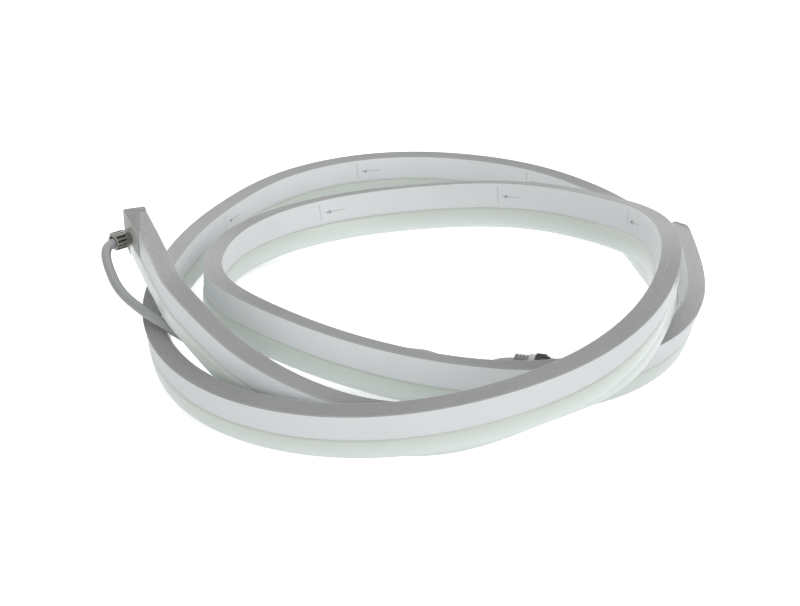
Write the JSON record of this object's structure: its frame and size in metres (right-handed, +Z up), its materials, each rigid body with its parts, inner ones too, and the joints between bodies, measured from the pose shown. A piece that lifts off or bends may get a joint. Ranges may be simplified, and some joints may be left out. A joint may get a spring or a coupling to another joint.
{
  "type": "neon led strip",
  "caption": "Flexible side-bending neon light strip lying as a loose coil on its milky side, with a ribbed back, closed ends and a cable gland with a short lead and plug.",
  "frame": {"origin": "on the floor under the middle of the box of the strip with its gland, without the lead and plug", "axes": "+Z up out of the ribbed back, +X to the right and +Y away from the viewer of the picture"},
  "size_m": [0.2982, 0.3146, 0.0784],
  "materials": {
    "jacket": "matte white silicone, ribbed on the back",
    "diffuser": "satin milky silicone, faintly green",
    "ribbon": "matte white film",
    "light_chip": "satin",
    "resistor": "matte black",
    "end_cap": "smooth matte silicone",
    "gland_metal": "dull dark plating",
    "seal_rubber": "matte black",
    "wire_skin": "satin",
    "cable_skin": "satin grey",
    "plug_grey": "satin grey",
    "plug_light": "satin light grey",
    "plug_black": "satin black",
    "contact_metal": "polished"
  },
  "bodies": {
    "root": {"jacket": "jacket", "diffuser": "diffuser", "circuit_ribbon": "ribbon", "side_leds": "light_chip", "chip_resistors": "resistor", "far_end_cap": "end_cap", "feed_end_cap": "end_cap", "gland_body": "gland_metal", "gland_nut": "gland_metal", "gland_seal": "seal_rubber", "lead_wires": "wire_skin", "lead_cable": "cable_skin", "plug_grip": "plug_grey", "plug_ring": "plug_light", "plug_barrel": "plug_black", "plug_seal": "seal_rubber", "plug_pins": "contact_metal"}
  },
  "joints": []
}
